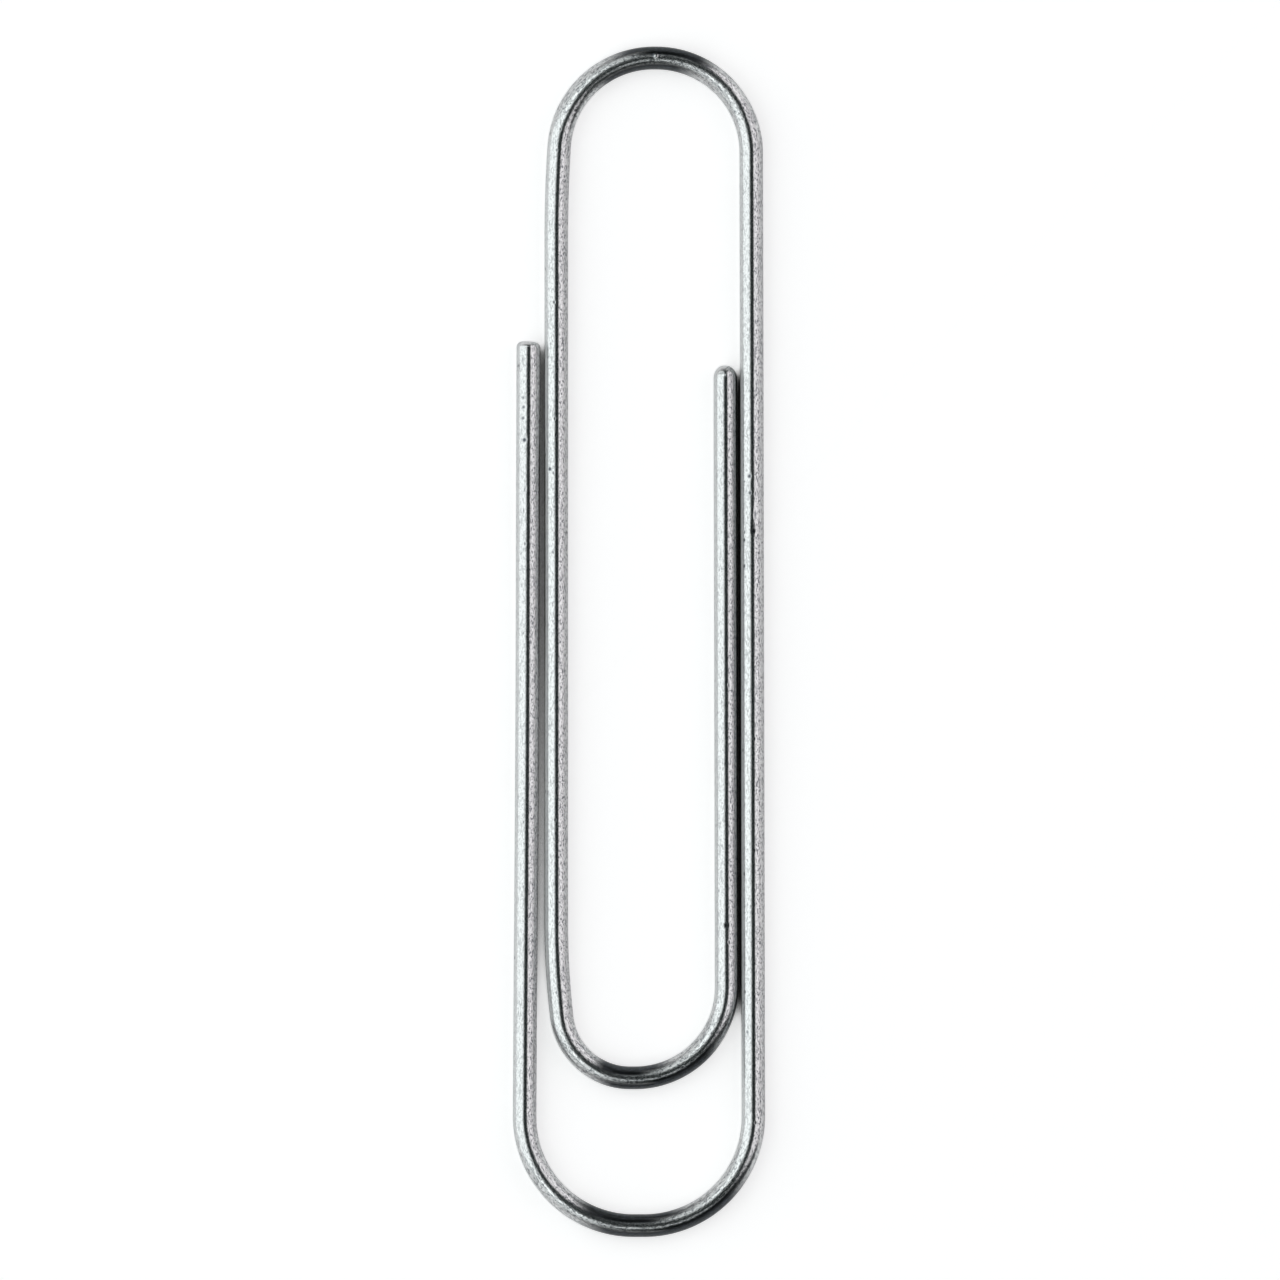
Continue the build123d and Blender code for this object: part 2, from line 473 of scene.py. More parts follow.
def ease_end(leg_end, crown_end, turn):
    """Where the gentle arc at an end of the tongue's left leg meets the tight arc of the bend. The two
    radii add up to the way across and the way along from the leg to the crown: across is gentle (1 - cos
    turn) + tight cos turn, and along is gentle sin turn + tight (1 - sin turn)."""
    across, along = crown_end - leg_end
    shares = np.array(((1 - cos(turn), cos(turn)), (sin(turn), 1 - sin(turn))))
    gentle, _tight = np.linalg.solve(shares, (across, abs(along)))
    return leg_end + gentle * np.array((1 - cos(turn), copysign(sin(turn), along)))


def wire_paths(sizes):
    """Every piece's path in order along the wire, from the outer cut end to the tongue's, turning left all
    the way."""
    radius, ends = stretch_ends()
    step = sizes.ring_spacing
    quarter = pi / 2
    outer_upper, outer_foot = ends["outer_leg"]
    long_upper, long_foot = ends["long_leg"]
    tongue_upper, tongue_foot = ends["tongue_left_leg"]
    arm_upper, arm_foot = ends["tongue_right_leg"]
    bottom_left, bottom_right = ends["bottom_crown"]
    top_left, top_right = ends["top_crown"]
    crown_left, crown_right = ends["tongue_crown"]
    outer_lean, long_lean, arm_lean = (
        lean_of(ends[leg]) for leg in ("outer_leg", "long_leg", "tongue_right_leg")
    )
    top_turn, foot_turn = sizes.top_ease_turn, sizes.lead_in_turn
    top_ease = ease_end(tongue_upper, top_left, top_turn)
    foot_ease = ease_end(tongue_foot, crown_left, foot_turn)
    paths = {
        "outer_leg_wire": bowed(straight(outer_upper, outer_foot, step), sizes.outer_leg_bow),
        "bottom_bend_wire": chain(
            arc(outer_foot, bottom_left, quarter - outer_lean, step),
            straight(bottom_left, bottom_right, step),
            arc(bottom_right, long_foot, quarter + long_lean, step),
        ),
        "long_leg_wire": straight(long_foot, long_upper, step),
        "top_bend_wire": chain(
            arc(long_upper, top_right, quarter - long_lean, step),
            straight(top_right, top_left, step),
            arc(top_left, top_ease, quarter - top_turn, step),
            arc(top_ease, tongue_upper, top_turn, step),
        ),
        "tongue_leg_wire": straight(tongue_upper, tongue_foot, step),
        "tongue_bend_wire": chain(
            arc(tongue_foot, foot_ease, foot_turn, step),
            arc(foot_ease, crown_left, quarter - foot_turn, step),
            straight(crown_left, crown_right, step),
            arc(crown_right, arm_foot, quarter + arm_lean, step),
        ),
        "tongue_arm_wire": straight(arm_foot, arm_upper, step),
    }
    return radius, paths


def along_wire(paths):
    """Distance from the outer cut end for the points of every path: the running sum of their spacings."""
    distances, reached = {}, 0.0
    for name, (points, _headings) in paths.items():
        steps = np.hypot(*np.diff(points, axis=0).T)
        distances[name] = reached + np.concatenate(((0.0,), np.cumsum(steps)))
        reached = distances[name][-1]
    return distances


def cut_rows(radius, rounding, length):
    """Rows of a cut end from its middle outwards, as set back along the wire and ring radius. The flat face
    grows from the middle to the rounding; the rounding is a quarter of an ellipse, radius less rounding
    plus rounding times the sine, set back by length times one less the cosine."""
    flat = np.linspace(FIRST_FACE_ROW, 1.0, FACE_ROWS)[:-1] * (radius - rounding)
    angle = np.linspace(0.0, pi / 2, ROUNDING_ROWS)
    setback = np.concatenate((np.zeros_like(flat), length * (1 - np.cos(angle))))
    ring = np.concatenate((flat, radius - rounding + rounding * np.sin(angle)))
    return setback, ring


def smooth_step(values, low, high):
    """0 below low, 1 above high, and between them three times the square of the share less twice its cube."""
    share = np.clip((values - low) / (high - low), 0.0, 1.0)
    return share * share * (3 - 2 * share)


def mark_field(plan, across, along):
    """How far each point lies inside the marks, as a share of their depth: for each mark, its share times
    the bell curve of the distance along the wire over its length and of the distance across the wire
    over its width. Where marks overlap, the one that is furthest from 0 counts."""
    field = np.zeros(plan.shape[:2])
    for x, y, length, width, share in MARKS.values():
        offset = plan - np.array((x, y)) * MM
        lengthways = (offset * along).sum(axis=-1) / (length * MM)
        sideways = (offset * across).sum(axis=-1) / (width * MM)
        mark = share * np.exp(-lengthways**2 - sideways**2)
        field = np.where(np.abs(mark) > np.abs(field), mark, field)
    return field


def painted_gap_shade_field(name, angle, rising, height):
    """How much painted shade each point has, from 0 to 1, dark colour for the shade beside a narrow gap: the
    smooth step of its share of the radius towards the shaded side, times the smooth steps of the wire's rise,
    the sine of its heading, and of its plan distance from the foot and the top."""
    if name not in PAINTED_GAP_SHADE:
        return np.zeros((len(rising), angle.shape[1]))
    side, begins, full, runs, foot, top = PAINTED_GAP_SHADE[name]
    over_side = smooth_step(side * np.cos(angle), begins, full)
    inside = np.minimum(height - foot * MM, top * MM - height)
    return over_side * smooth_step(runs * rising, *PAINTED_GAP_SHADE_RISE) * smooth_step(inside, 0.0, PAINTED_GAP_SHADE_FADE)


def dark_reflection_field(angle, left):
    """How much painted dark reflection each point of a bend has, from 0 to 1: dark colour where the flank
    faces the dark room. Facing is the level direction out of the wire on the point's side. Where it points to
    the clip's right, the dark reflection is a smooth step of the share of the radius across the wire, from
    nearer the wire's top where it points to the back than where it points to the front; on the side that
    points left, it begins further down and only near the crowns. It fades towards the legs, later on the
    outer front than elsewhere, and is thinner high up inside a bend on the front."""
    sideways = np.abs(np.cos(angle))
    right, back = (left[..., part] * np.sign(np.cos(angle)) for part in (0, 1))
    front = (back < 0).astype(float)
    inner_front = front * (np.cos(angle) > 0)
    right_side = smooth_step(sideways - FRONT_ACROSS * front, *DARK_REFLECTION_RIGHT_ACROSS)
    right_side = right_side * smooth_step(right - FRONT_FACING * front, *DARK_REFLECTION_RIGHT_FACING)
    left_side = smooth_step(sideways, *DARK_REFLECTION_LEFT_ACROSS) * smooth_step(right, *DARK_REFLECTION_LEFT_FACING)
    fading = smooth_step(right - FRONT_FADING * front + INNER_FRONT_FADING * inner_front, *DARK_REFLECTION_FADING)
    thinning = INNER_FRONT_THINNING * inner_front * (1 - smooth_step(sideways, *DARK_REFLECTION_THICKENING))
    return np.maximum(right_side, left_side) * (1 - fading) * (1 - thinning)


def with_cut(rows, radius, cut, inward):
    """Rows that begin at a cut end: the end's own rows, set back inwards along the wire, then the rows past
    them. The share of the cut's slant is 1 on the flat face and falls with the cosine of the rounding to
    0 on the wire."""
    rounding, length = cut
    setback, ring = cut_rows(radius, rounding, length)
    first = {label: np.repeat(values[:1], len(setback), axis=0) for label, values in rows.items()}
    first["point"] = first["point"] + inward * setback[:, None] * first["along"]
    first["distance"] = first["distance"] + inward * setback
    first["ring"] = ring
    first["slant"] = 1 - setback / length
    first["bare"] = (ring < radius - rounding).astype(float)
    past = np.abs(rows["distance"] - rows["distance"][0]) > length * PAST_ROUNDING
    return {label: np.concatenate((first[label], rows[label][past])) for label in rows}


def turned_round(rows):
    """The same rows from the last to the first."""
    return {label: values[::-1] for label, values in rows.items()}


def wire_mesh(name, path, distance, radius, sizes, cut_first=None, cut_last=None, lean=0.0):
    """Closed tube round a path. A point is the path's point, plus the ring's radius times the cosine of its
    angle to the left and the sine of it upwards. The radius is the wire's, less the flattening times the
    squared cosine in the bends, less the marks. A cut end is a rounding and its length along the wire.
    Crossing is how far the wire runs across the clip, the cosine of its heading: 0 on the legs and 1 at
    a crown. A section that leans moves to its left by the lean times its height times the sine of twice
    the heading past the upright one. Painted mottling, grain painted darker as shade, rises smoothly over the
    side of a leg that faces the clip's right."""
    points, headings = path
    count = len(points)
    rows = {
        "point": points,
        "along": np.stack((np.cos(headings), np.sin(headings)), axis=1),
        "distance": distance,
        "rising": np.sin(headings),
        "crossing": np.abs(np.cos(headings)),
        "sway": np.sin(2 * (headings - UPRIGHT_HEADING)),
        "ring": np.full(count, radius),
        "slant": np.zeros(count),
        "bare": np.zeros(count),
    }
    if cut_first:
        rows = with_cut(rows, radius, cut_first, 1)
    if cut_last:
        rows = turned_round(with_cut(turned_round(rows), radius, cut_last, -1))
    angle = np.linspace(0.0, 2 * pi, sizes.points_around, endpoint=False)[None, :]
    along = rows["along"][:, None, :]
    left = np.stack((-along[..., 1], along[..., 0]), axis=-1)
    ring, rising, crossing, sway, bare, slant = (
        rows[label][:, None] for label in ("ring", "rising", "crossing", "sway", "bare", "slant")
    )
    cut_lean = sizes.cut_slant * slant * ring / radius * np.sin(angle + sizes.cut_turn)
    middle = rows["point"][:, None, :] + along * cut_lean[:, :, None]
    flattening = sizes.bend_flattening * smooth_step(crossing, 0.0, FULL_FLATTENING)
    reach = ring * (1 - flattening * np.cos(angle) ** 2)
    plan = middle + left * (reach * np.cos(angle))[:, :, None]
    marks = mark_field(plan, left, along) * (np.sin(angle) > 0)
    reach = reach - sizes.mark_depth * marks
    up = reach * np.sin(angle)
    across = reach * np.cos(angle) + lean * sway * smooth_step(crossing, 0.0, FULL_LEAN) * up
    surface = np.concatenate((middle + left * across[:, :, None], (radius + up)[:, :, None]), axis=2)
    # Painted shade beside the narrow gaps
    painted_shade = painted_gap_shade_field(name, angle, rising, rows["point"][:, 1:])
    # Painted mottling: the grain is painted darker as shade on the side that faces right
    painted_right_mottling = smooth_step(left[..., 0] * np.cos(angle), 0.0, FULL_PAINTED_MOTTLING)
    # Painted dark reflection on the bends' flanks
    dark_reflection = dark_reflection_field(angle, left)

    def over_grid(*layers):
        return np.stack([np.broadcast_to(layer, reach.shape) for layer in layers], axis=2)

    fields = {
        "wire_place": over_grid(across, up, rows["distance"][:, None]),
        "wire_wear": over_grid(crossing, marks, bare),
        "wire_sides": over_grid(painted_shade, painted_right_mottling, dark_reflection),
    }
    return closed_tube(name, surface, fields)


def closed_tube(name, rows, fields):
    """Mesh of a grid of rings: each square joins a point to the next in its ring and in the next ring, the
    last point of a ring to the first, and the end rings close on a middle point, the mean of the ring.
    Each field becomes an attribute of the points."""
    row_count, around = rows.shape[:2]
    corner = np.arange(around)
    following = np.roll(corner, -1)
    ring_start = (np.arange(row_count - 1) * around)[:, None]
    quads = np.stack(
        (
            ring_start + corner,
            ring_start + following,
            ring_start + around + following,
            ring_start + around + corner,
        ),
        axis=2,
    ).reshape(-1, 4)
    first_pole = row_count * around
    last_ring = (row_count - 1) * around
    start_fan = np.stack((following, corner, np.full(around, first_pole)), axis=1)
    end_fan = np.stack((last_ring + corner, last_ring + following, np.full(around, first_pole + 1)), axis=1)

    def with_poles(grid):
        points = grid.reshape(-1, grid.shape[2])
        return np.concatenate((points, grid[:1].mean(axis=1), grid[-1:].mean(axis=1)))

    mesh = bpy.data.meshes.new(name)
    mesh.from_pydata(with_poles(rows), [], quads.tolist() + start_fan.tolist() + end_fan.tolist())
    if mesh.validate():
        raise RuntimeError(f"{name} has faces that are not whole")
    for label, grid in fields.items():
        layer = mesh.attributes.new(label, "FLOAT_VECTOR", "POINT")
        layer.data.foreach_set("vector", with_poles(grid).astype(np.float32).ravel())
    mesh.shade_smooth()
    mesh.set_sharp_from_angle(angle=SHARP_EDGE)
    piece = bpy.data.objects.new(name, mesh)
    bpy.context.scene.collection.objects.link(piece)
    return piece


def new_group(name, sizes, outputs):
    """Empty shader group that takes a place and the named sizes, with its input and output nodes."""
    group = bpy.data.node_groups.new(name, "ShaderNodeTree")
    group.interface.new_socket(name="Place", in_out="INPUT", socket_type="NodeSocketVector")
    for label in sizes:
        group.interface.new_socket(name=label, in_out="INPUT", socket_type="NodeSocketFloat")
    for label in outputs:
        group.interface.new_socket(name=label, in_out="OUTPUT", socket_type="NodeSocketFloat")
    return group, group.nodes.new("NodeGroupInput"), group.nodes.new("NodeGroupOutput")


def math_node(tree, operation, first, second):
    """Output of a Math node on two sockets or numbers."""
    node = tree.nodes.new("ShaderNodeMath")
    node.operation = operation
    for socket, value in zip(node.inputs, (first, second)):
        if isinstance(value, (int, float)):
            socket.default_value = value
        else:
            tree.links.new(value, socket)
    return node.outputs[0]


def range_node(tree, value, low, high, to_low=0.0, to_high=1.0):
    """Output of a Map Range node, smooth between its ends."""
    node = tree.nodes.new("ShaderNodeMapRange")
    node.interpolation_type = "SMOOTHSTEP"
    node.inputs["From Min"].default_value = low
    node.inputs["From Max"].default_value = high
    node.inputs["To Min"].default_value = to_low
    node.inputs["To Max"].default_value = to_high
    tree.links.new(value, node.inputs["Value"])
    return node.outputs["Result"]


def colour_mix(tree, share, first, second):
    """Output of a colour mix, from the first to the second by the share."""
    node = tree.nodes.new("ShaderNodeMix")
    node.data_type = "RGBA"
    tree.links.new(share, node.inputs["Factor"])
    for socket, value in zip((node.inputs["A"], node.inputs["B"]), (first, second)):
        if isinstance(value, tuple):
            socket.default_value = value
        else:
            tree.links.new(value, socket)
    return node.outputs["Result"]


def scaled_place(tree, place, size_sockets):
    """Place on the wire divided by a width both ways across it and a length along it."""
    size = tree.nodes.new("ShaderNodeCombineXYZ")
    for target, source in zip(size.inputs, size_sockets):
        tree.links.new(source, target)
    divide = tree.nodes.new("ShaderNodeVectorMath")
    divide.operation = "DIVIDE"
    tree.links.new(place, divide.inputs[0])
    tree.links.new(size.outputs[0], divide.inputs[1])
    return divide.outputs[0]


def noise_node(tree, vector, detail, roughness):
    """Value of a noise one unit in size at the given vector."""
    node = tree.nodes.new("ShaderNodeTexNoise")
    node.inputs["Scale"].default_value = 1.0
    node.inputs["Detail"].default_value = detail
    node.inputs["Roughness"].default_value = roughness
    tree.links.new(vector, node.inputs["Vector"])
    return node.outputs["Fac"]


def streak_group():
    """Drawing marks: noise stretched along the wire, as a height, and mixed with wider, longer noise as a
    tone."""
    group, entry, leaving = new_group("Drawing Marks", ("Width", "Length"), ("Height", "Tone"))
    place, width, length = entry.outputs[:3]
    fine = noise_node(group, scaled_place(group, place, (width, width, length)), detail=2.0, roughness=0.6)
    broad_width = math_node(group, "MULTIPLY", width, 3.0)
    broad_length = math_node(group, "MULTIPLY", length, 4.0)
    broad_place = scaled_place(group, place, (broad_width, broad_width, broad_length))
    broad = noise_node(group, broad_place, detail=2.0, roughness=0.5)
    fine_part = math_node(group, "MULTIPLY", fine, 0.7)
    broad_part = math_node(group, "MULTIPLY", broad, 0.3)
    tone = range_node(group, math_node(group, "ADD", fine_part, broad_part), low=0.48, high=0.64)
    group.links.new(fine, leaving.inputs["Height"])
    group.links.new(tone, leaving.inputs["Tone"])
    return group


def grain_group():
    """Plating grain: rough noise a little longer than wide, as a height, and as a tone that is full on its
    peaks."""
    group, entry, leaving = new_group("Plating Grain", ("Size",), ("Height", "Tone"))
    place, size = entry.outputs[:2]
    long_size = math_node(group, "MULTIPLY", size, 2.4)
    fine = noise_node(group, scaled_place(group, place, (size, size, long_size)), detail=3.0, roughness=0.75)
    group.links.new(fine, leaving.inputs["Height"])
    group.links.new(range_node(group, fine, low=0.50, high=0.60), leaving.inputs["Tone"])
    return group


def pit_group():
    """Small pits: near the middle of some cells of a Voronoi pattern the mask is 1, and 0 outside."""
    group, entry, leaving = new_group("Pits", ("Spacing",), ("Mask",))
    place, spacing = entry.outputs[:2]
    long_spacing = math_node(group, "MULTIPLY", spacing, 1.5)
    cells = group.nodes.new("ShaderNodeTexVoronoi")
    cells.inputs["Scale"].default_value = 1.0
    group.links.new(scaled_place(group, place, (spacing, spacing, long_spacing)), cells.inputs["Vector"])
    near = range_node(group, cells.outputs["Distance"], low=0.06, high=0.16, to_low=1.0, to_high=0.0)
    split = group.nodes.new("ShaderNodeSeparateColor")
    group.links.new(cells.outputs["Color"], split.inputs[0])
    chosen = range_node(group, split.outputs[0], low=0.55, high=0.60)
    group.links.new(math_node(group, "MULTIPLY", near, chosen), leaving.inputs["Mask"])
    return group


def shared_group(name, maker):
    """The group of that name, made the first time that it is needed."""
    return bpy.data.node_groups.get(name) or maker()


def place_group(tree, name, maker, place, **sizes):
    """Node of a shared group fed with the place on the wire and its own sizes."""
    node = tree.nodes.new("ShaderNodeGroup")
    node.node_tree = shared_group(name, maker)
    tree.links.new(place, node.inputs["Place"])
    for label, value in sizes.items():
        node.inputs[label].default_value = value
    return node.outputs


def attribute_parts(tree, name):
    """Vector of the named attribute, and its three parts."""
    node = tree.nodes.new("ShaderNodeAttribute")
    node.attribute_name = name
    split = tree.nodes.new("ShaderNodeSeparateXYZ")
    tree.links.new(node.outputs["Vector"], split.inputs[0])
    return node.outputs["Vector"], split.outputs


def painted_rim_share(tree, across, up, bend, painted_shade):
    """How much painted bright rim there is, pale matt colour in place of a bright reflection: high on the
    flanks of a leg, where no painted shade is.
    """
    flank = range_node(tree, math_node(tree, "ABSOLUTE", across, 0.0), *BRIGHT_RIM_ACROSS)
    upper_flank = math_node(tree, "MULTIPLY", flank, range_node(tree, up, *BRIGHT_RIM_UP))
    leg = range_node(tree, bend, 0.0, BRIGHT_RIM_END, BRIGHT_RIM_MOST, 0.0)
    clean_leg = math_node(tree, "MULTIPLY", leg, math_node(tree, "SUBTRACT", 1.0, painted_shade))
    return math_node(tree, "MULTIPLY", upper_flank, clean_leg)


def wire_material(look):
    """Bright zinc over drawn wire: dull drawing marks, painted dark reflections on the bends, painted shade
    beside the gaps, a painted bright rim of pale matt colour high on the legs' flanks, dark grain that is
    painted darker on the side that faces right, bare cut faces, and darker pits and nicks."""
    material = bpy.data.materials.get("zinc_plated_wire")
    if material:
        return material
    material = bpy.data.materials.new("zinc_plated_wire")
    material.use_nodes = True
    tree = material.node_tree
    shader = tree.nodes["Principled BSDF"]
    place, (across, up, _distance) = attribute_parts(tree, "wire_place")
    _wear, (crossing, mark, bare) = attribute_parts(tree, "wire_wear")
    _sides, (painted_shade, painted_right_mottling, dark_reflection) = attribute_parts(tree, "wire_sides")
    bend = range_node(tree, crossing, *BEND_RUN)
    painted_rim = painted_rim_share(tree, across, up, bend, painted_shade)
    streak = place_group(
        tree, "Drawing Marks", streak_group, place, Width=look.streak_width, Length=look.streak_length
    )
    grain = place_group(tree, "Plating Grain", grain_group, place, Size=look.grain_size)
    pits = place_group(tree, "Pits", pit_group, place, Spacing=look.pit_spacing)["Mask"]

    zinc, dull_zinc, painted_dark, painted_rim_tint, pit, steel = (
        (*colour, 1.0)
        for colour in (
            look.zinc_colour, look.dull_colour, look.painted_dark_colour, look.painted_rim_colour, look.pit_colour,
            look.steel_colour,
        )
    )
    colour = colour_mix(tree, math_node(tree, "MULTIPLY", streak["Tone"], STREAK_SHARE), zinc, dull_zinc)
    # Painted dark reflection on the bends and painted shade beside the narrow gaps, in one dark colour
    painted_darkening = math_node(tree, "MAXIMUM", dark_reflection, math_node(tree, "MULTIPLY", painted_shade, look.painted_shade_strength))
    colour = colour_mix(tree, painted_darkening, colour, painted_dark)
    # Painted bright rim: pale matt colour in place of the flanks' bright reflection
    colour = colour_mix(tree, painted_rim, colour, painted_rim_tint)
    # Grain is the plating's own, painted darker as shade on the side that faces right
    leg_grain = range_node(tree, painted_right_mottling, 0.0, 1.0, *LEG_GRAIN)
    speckling = math_node(tree, "MAXIMUM", leg_grain, math_node(tree, "MULTIPLY", bend, BEND_GRAIN))
    colour = colour_mix(tree, math_node(tree, "MULTIPLY", grain["Tone"], speckling), colour, pit)
    colour = colour_mix(tree, bare, colour, steel)
    # Darker in the nicks and pits
    nicks = range_node(tree, mark, *NICK_DEPTH)
    nick_and_pit_darkening = math_node(tree, "MAXIMUM", nicks, math_node(tree, "MULTIPLY", pits, PIT_SHARE))
    colour = colour_mix(tree, nick_and_pit_darkening, colour, pit)
    tree.links.new(colour, shader.inputs["Base Color"])
    tree.links.new(math_node(tree, "SUBTRACT", 1.0, painted_rim), shader.inputs["Metallic"])

    rough = tree.nodes.new("ShaderNodeMix")
    tree.links.new(painted_rim, rough.inputs["Factor"])
    plating_roughness = range_node(tree, bend, 0.0, 1.0, look.gloss_roughness, look.bend_roughness)
    tree.links.new(plating_roughness, rough.inputs["A"])
    rough.inputs["B"].default_value = look.painted_rim_roughness
    tree.links.new(rough.outputs["Result"], shader.inputs["Roughness"])

    height = math_node(tree, "ADD", streak["Height"], grain["Height"])
    height = math_node(tree, "MULTIPLY", height, range_node(tree, bend, 0.0, 1.0, *RELIEF))
    height = math_node(tree, "SUBTRACT", height, math_node(tree, "MULTIPLY", pits, PIT_RELIEF))
    bump = tree.nodes.new("ShaderNodeBump")
    bump.inputs["Distance"].default_value = RELIEF_HEIGHT
    tree.links.new(height, bump.inputs["Height"])
    tree.links.new(bump.outputs["Normal"], shader.inputs["Normal"])
    return material


def finish_piece(piece, look, replaced):
    """Material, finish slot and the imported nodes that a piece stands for."""
    piece.data.materials.append(wire_material(look))
    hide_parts(*replaced)


def mesh_for(context, name, **ends):
    """Tube of the named piece, from its own path, with its cut ends and lean."""
    sizes = context.scene.clip_wire
    radius, paths = wire_paths(sizes)
    distance = along_wire(paths)[name]
    return wire_mesh(name, paths[name], distance, radius, sizes, **ends)


class CLIP_OT_legs(bpy.types.Operator):
    """Build the four straight legs, with the two cut ends"""

    bl_idname = "paper_clip.legs"
    bl_label = "Build Legs"
    bl_options = {"REGISTER", "UNDO"}

    def execute(self, context):
        sizes, look = context.scene.clip_wire, context.scene.clip_plating
        outer = mesh_for(context, "outer_leg_wire", cut_first=(sizes.outer_end_round, sizes.outer_end_round))
        finish_piece(outer, look, ["outer_leg"])
        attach(outer, "outer_arm")
        long_leg = mesh_for(context, "long_leg_wire")
        finish_piece(long_leg, look, ["long_leg"])
        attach(long_leg, "long_side")
        tongue = mesh_for(context, "tongue_leg_wire")
        finish_piece(tongue, look, ["tongue_left_leg"])
        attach(tongue, "tongue")
        arm_cut = (sizes.tongue_end_round, sizes.tongue_end_length)
        arm = mesh_for(context, "tongue_arm_wire", cut_last=arm_cut)
        finish_piece(arm, look, ["tongue_right_leg"])
        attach(arm, "tongue_arm")
        return {"FINISHED"}


class CLIP_OT_bends(bpy.types.Operator):
    """Build the three bends, each of which joins two sides"""

    bl_idname = "paper_clip.bends"
    bl_label = "Build Bends"
    bl_options = {"REGISTER", "UNDO"}

    def execute(self, context):
        sizes, look = context.scene.clip_wire, context.scene.clip_plating

        def twist(piece):
            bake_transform(piece)

        bottom = mesh_for(context, "bottom_bend_wire")
        finish_piece(bottom, look, ["bottom_bend_left", "bottom_crown", "bottom_bend_right"])
        twist(bottom)
        top = mesh_for(context, "top_bend_wire", lean=sizes.top_bend_lean)
        finish_piece(top, look, ["top_bend_right", "top_crown", "top_bend_left"])
        twist(top)
        inner = mesh_for(context, "tongue_bend_wire")
        finish_piece(inner, look, ["tongue_bend_left", "tongue_crown", "tongue_bend_right"])
        twist(inner)
        return {"FINISHED"}


def panel_lamp(name, brightness):
    """Area lamp of that name, between its upper and its lower edge and facing the clip. Its power is its
    brightness times pi times its area."""
    (upper_x, upper_z), (lower_x, lower_z), (start_y, end_y), tint = LAMPS[name]
    slope = Vector((lower_x - upper_x, 0.0, lower_z - upper_z))
    lamp = bpy.data.lights.new(name, "AREA")
    lamp.shape = "RECTANGLE"
    lamp.size = end_y - start_y
    lamp.size_y = slope.length
    lamp.energy = brightness * pi * lamp.size * lamp.size_y
    lamp.color = tint
    holder = bpy.data.objects.new(name, lamp)
    holder.location = ((upper_x + lower_x) / 2, (start_y + end_y) / 2, (upper_z + lower_z) / 2)
    facing = Vector((slope.z, 0.0, -slope.x))
    if facing.dot(holder.location) > 0:
        facing.negate()
    holder.rotation_euler = facing.to_track_quat("-Z", "Y").to_euler()
    holder.visible_camera = False
    bpy.context.scene.collection.objects.link(holder)


def floor_mesh(name, reach):
    """Flat square round the origin at the clip's underside: a grid of two by two points at plus and minus
    the reach."""
    side = np.array((-reach, reach))
    x, y = np.meshgrid(side, side)
    corners = np.stack((x, y, np.zeros_like(x)), axis=2).reshape(-1, 3)
    mesh = bpy.data.meshes.new(name)
    mesh.from_pydata(corners, [], [(0, 1, 3, 2)])
    floor = bpy.data.objects.new(name, mesh)
    bpy.context.scene.collection.objects.link(floor)
    return floor


def seen_share(tree, mirrored):
    """How much of a background's own light shows: all of it to the camera and through glass, and in
    reflections the given share, a number or a socket."""
    path = tree.nodes.new("ShaderNodeLightPath")
    in_reflections = math_node(tree, "MULTIPLY", path.outputs["Is Glossy Ray"], mirrored)
    seen = math_node(tree, "MAXIMUM", path.outputs["Is Camera Ray"], in_reflections)
    return math_node(tree, "MAXIMUM", seen, path.outputs["Is Transmission Ray"])


def floor_material(look):
    """Matt pale floor that shows white to the camera and in reflections, except in the crevices by the
    wire, where painted shade darkens its colour and cuts its lift."""
    material = bpy.data.materials.new("studio_floor")
    material.use_nodes = True
    tree = material.node_tree
    shader = tree.nodes["Principled BSDF"]
    shader.inputs["Roughness"].default_value = 0.9
    shader.inputs["Specular IOR Level"].default_value = 0.0
    crevice = tree.nodes.new("ShaderNodeAmbientOcclusion")
    crevice.samples = CREVICE_RAYS
    crevice.inputs["Distance"].default_value = look.crevice_reach
    openness = crevice.outputs["AO"]
    shaded, pale = ((*colour, 1.0) for colour in (look.crevice_shade_colour, look.floor_colour))
    # Painted shade: darker floor colour in the crevices by the wire
    colour = colour_mix(tree, range_node(tree, openness, *CREVICE_SHADE_COLOUR_RANGE), shaded, pale)
    tree.links.new(colour, shader.inputs["Base Color"])
    # The lift is cut in the crevices as well, as painted shade
    lift = range_node(tree, openness, *CREVICE_SHADE_LIFT_RANGE, 0.0, look.floor_lift)
    seen_lift = math_node(tree, "MULTIPLY", seen_share(tree, look.floor_mirrored), lift)
    shader.inputs["Emission Color"].default_value = WHITE
    tree.links.new(seen_lift, shader.inputs["Emission Strength"])
    return material


def room_world(look):
    """Dim room above, pale at and below the horizon, with a backdrop that only the camera and reflections
    see. In reflections it stands at the front and the back, between the lamps, and fades upwards."""
    world = bpy.data.worlds.new("studio_room")
    bpy.context.scene.world = world
    world.use_nodes = True
    tree = world.node_tree
    background = tree.nodes["Background"]
    direction = tree.nodes.new("ShaderNodeTexCoord")
    split = tree.nodes.new("ShaderNodeSeparateXYZ")
    tree.links.new(direction.outputs["Generated"], split.inputs[0])
    _sideways, lengthways, up = split.outputs
    room = colour_mix(tree, range_node(tree, up, 0.0, HORIZON_TOP), WHITE, (*look.room_colour, 1.0))
    low = range_node(tree, up, 0.0, BACKDROP_TOP, look.backdrop_mirrored, 0.0)
    at_ends = range_node(tree, math_node(tree, "ABSOLUTE", lengthways, 0.0), *BACKDROP_ENDS)
    seen = seen_share(tree, math_node(tree, "MULTIPLY", low, at_ends))
    tree.links.new(colour_mix(tree, seen, room, WHITE), background.inputs["Color"])


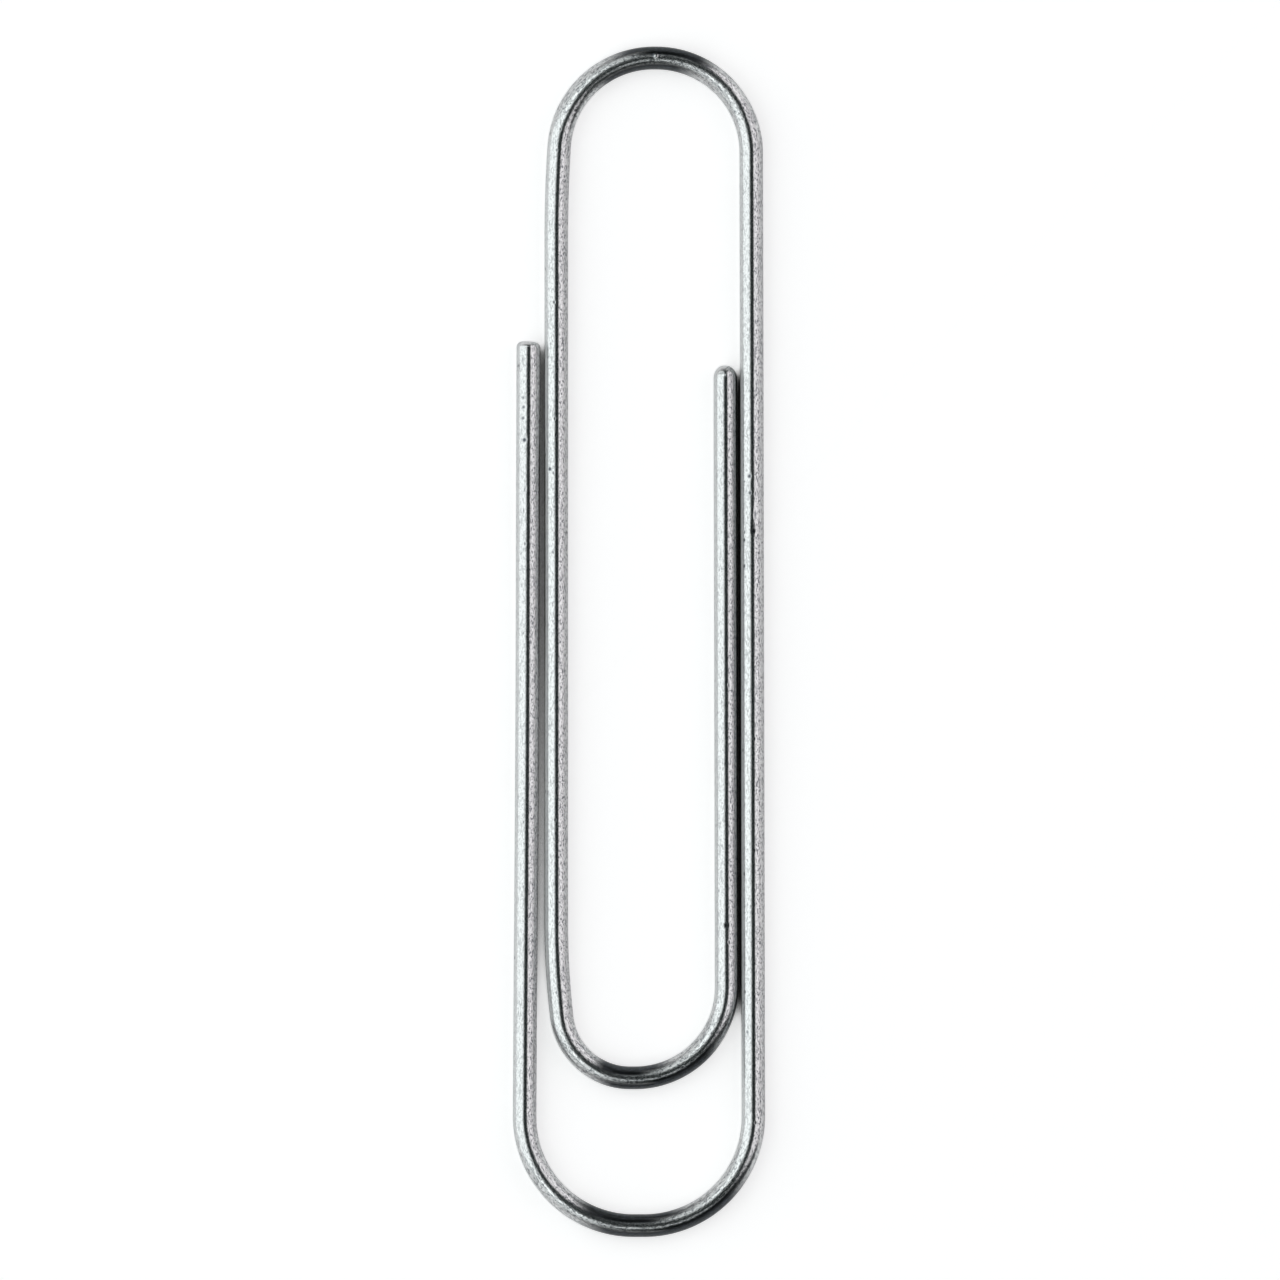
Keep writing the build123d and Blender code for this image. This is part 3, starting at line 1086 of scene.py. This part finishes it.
def overhead_camera(look):
    """Camera that looks straight down at the view's centre. It stands above the middle of the wire by the
    view's width times the focal length over the width of the sensor."""
    camera = bpy.data.cameras.new("overhead_camera")
    camera.sensor_width = SENSOR_WIDTH
    camera.lens = look.lens
    holder = bpy.data.objects.new("overhead_camera", camera)
    low, high = CAD_BOX
    rise = look.view_width * look.lens / SENSOR_WIDTH
    holder.location = (*look.view_centre, (low.z + high.z) / 2 + rise)
    bpy.context.scene.collection.objects.link(holder)
    return holder


class CLIP_OT_stage(bpy.types.Operator):
    """Build the floor, the lamps, the room and the camera"""

    bl_idname = "paper_clip.stage"
    bl_label = "Build Stage"
    bl_options = {"REGISTER", "UNDO"}

    def execute(self, context):
        look = context.scene.clip_stage
        floor = floor_mesh("studio_floor", look.floor_reach)
        floor.data.materials.append(floor_material(look))
        room_world(look)
        for name in LAMPS:
            panel_lamp(name, getattr(look, name))
        context.scene.camera = overhead_camera(look)
        context.scene.view_settings.view_transform = "Standard"
        return {"FINISHED"}


class CLIP_PT_sidebar(bpy.types.Panel):
    """Lists what the clip is built from"""

    bl_idname = "CLIP_PT_sidebar"
    bl_label = "Paper Clip"
    bl_space_type = "VIEW_3D"
    bl_region_type = "UI"
    bl_category = "Paper Clip"

    def draw(self, context):
        layout = self.layout
        for operator in (CLIP_OT_legs, CLIP_OT_bends, CLIP_OT_stage):
            layout.operator(operator.bl_idname)
        for group in (context.scene.clip_wire, context.scene.clip_plating, context.scene.clip_stage):
            box = layout.box()
            for label in group.__annotations__:
                box.prop(group, label)


CLASSES = (
    WireSizes, PlatingLook, StageLook, CLIP_OT_legs, CLIP_OT_bends, CLIP_OT_stage, CLIP_PT_sidebar,
)


def register():
    """Register the classes and hang the settings on the scene."""
    for item in CLASSES:
        bpy.utils.register_class(item)
    bpy.types.Scene.clip_wire = bpy.props.PointerProperty(type=WireSizes)
    bpy.types.Scene.clip_plating = bpy.props.PointerProperty(type=PlatingLook)
    bpy.types.Scene.clip_stage = bpy.props.PointerProperty(type=StageLook)


def unregister():
    """Take the settings off the scene and drop the classes."""
    del bpy.types.Scene.clip_stage
    del bpy.types.Scene.clip_plating
    del bpy.types.Scene.clip_wire
    for item in reversed(CLASSES):
        bpy.utils.unregister_class(item)


def main():
    register()
    bpy.ops.paper_clip.legs()
    bpy.ops.paper_clip.bends()
    bpy.ops.paper_clip.stage()


if __name__ == "__main__":
    main()
